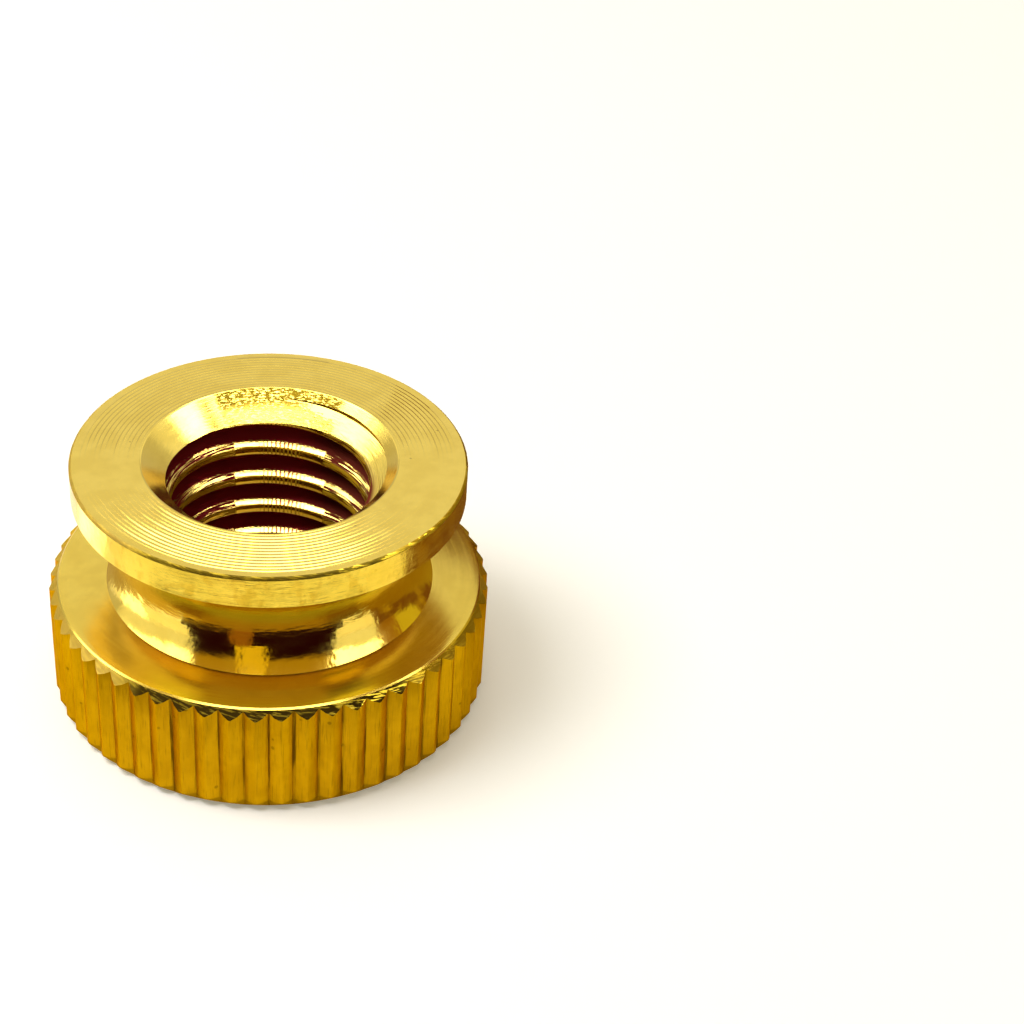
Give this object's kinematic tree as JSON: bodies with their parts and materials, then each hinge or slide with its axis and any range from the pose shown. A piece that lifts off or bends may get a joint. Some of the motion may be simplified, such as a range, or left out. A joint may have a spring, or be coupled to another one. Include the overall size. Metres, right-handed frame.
{
  "type": "knurled thumb nut",
  "caption": "Round brass thumb nut with a straight-knurled head, a waisted neck, a thin clamping flange and a countersunk threaded hole right through.",
  "frame": {"origin": "on the thread's axis, in the bottom face of the knurled head that the nut stands on", "axes": "+Z along the thread's axis, from the knurled head to the flange; +X and +Y in the bottom face, with a knurl crest on +X"},
  "size_m": [0.015, 0.015, 0.009],
  "materials": {
    "brass": "bright turned brass, straight knurl"
  },
  "bodies": {
    "root": {"thumb_nut": "brass"}
  },
  "joints": []
}
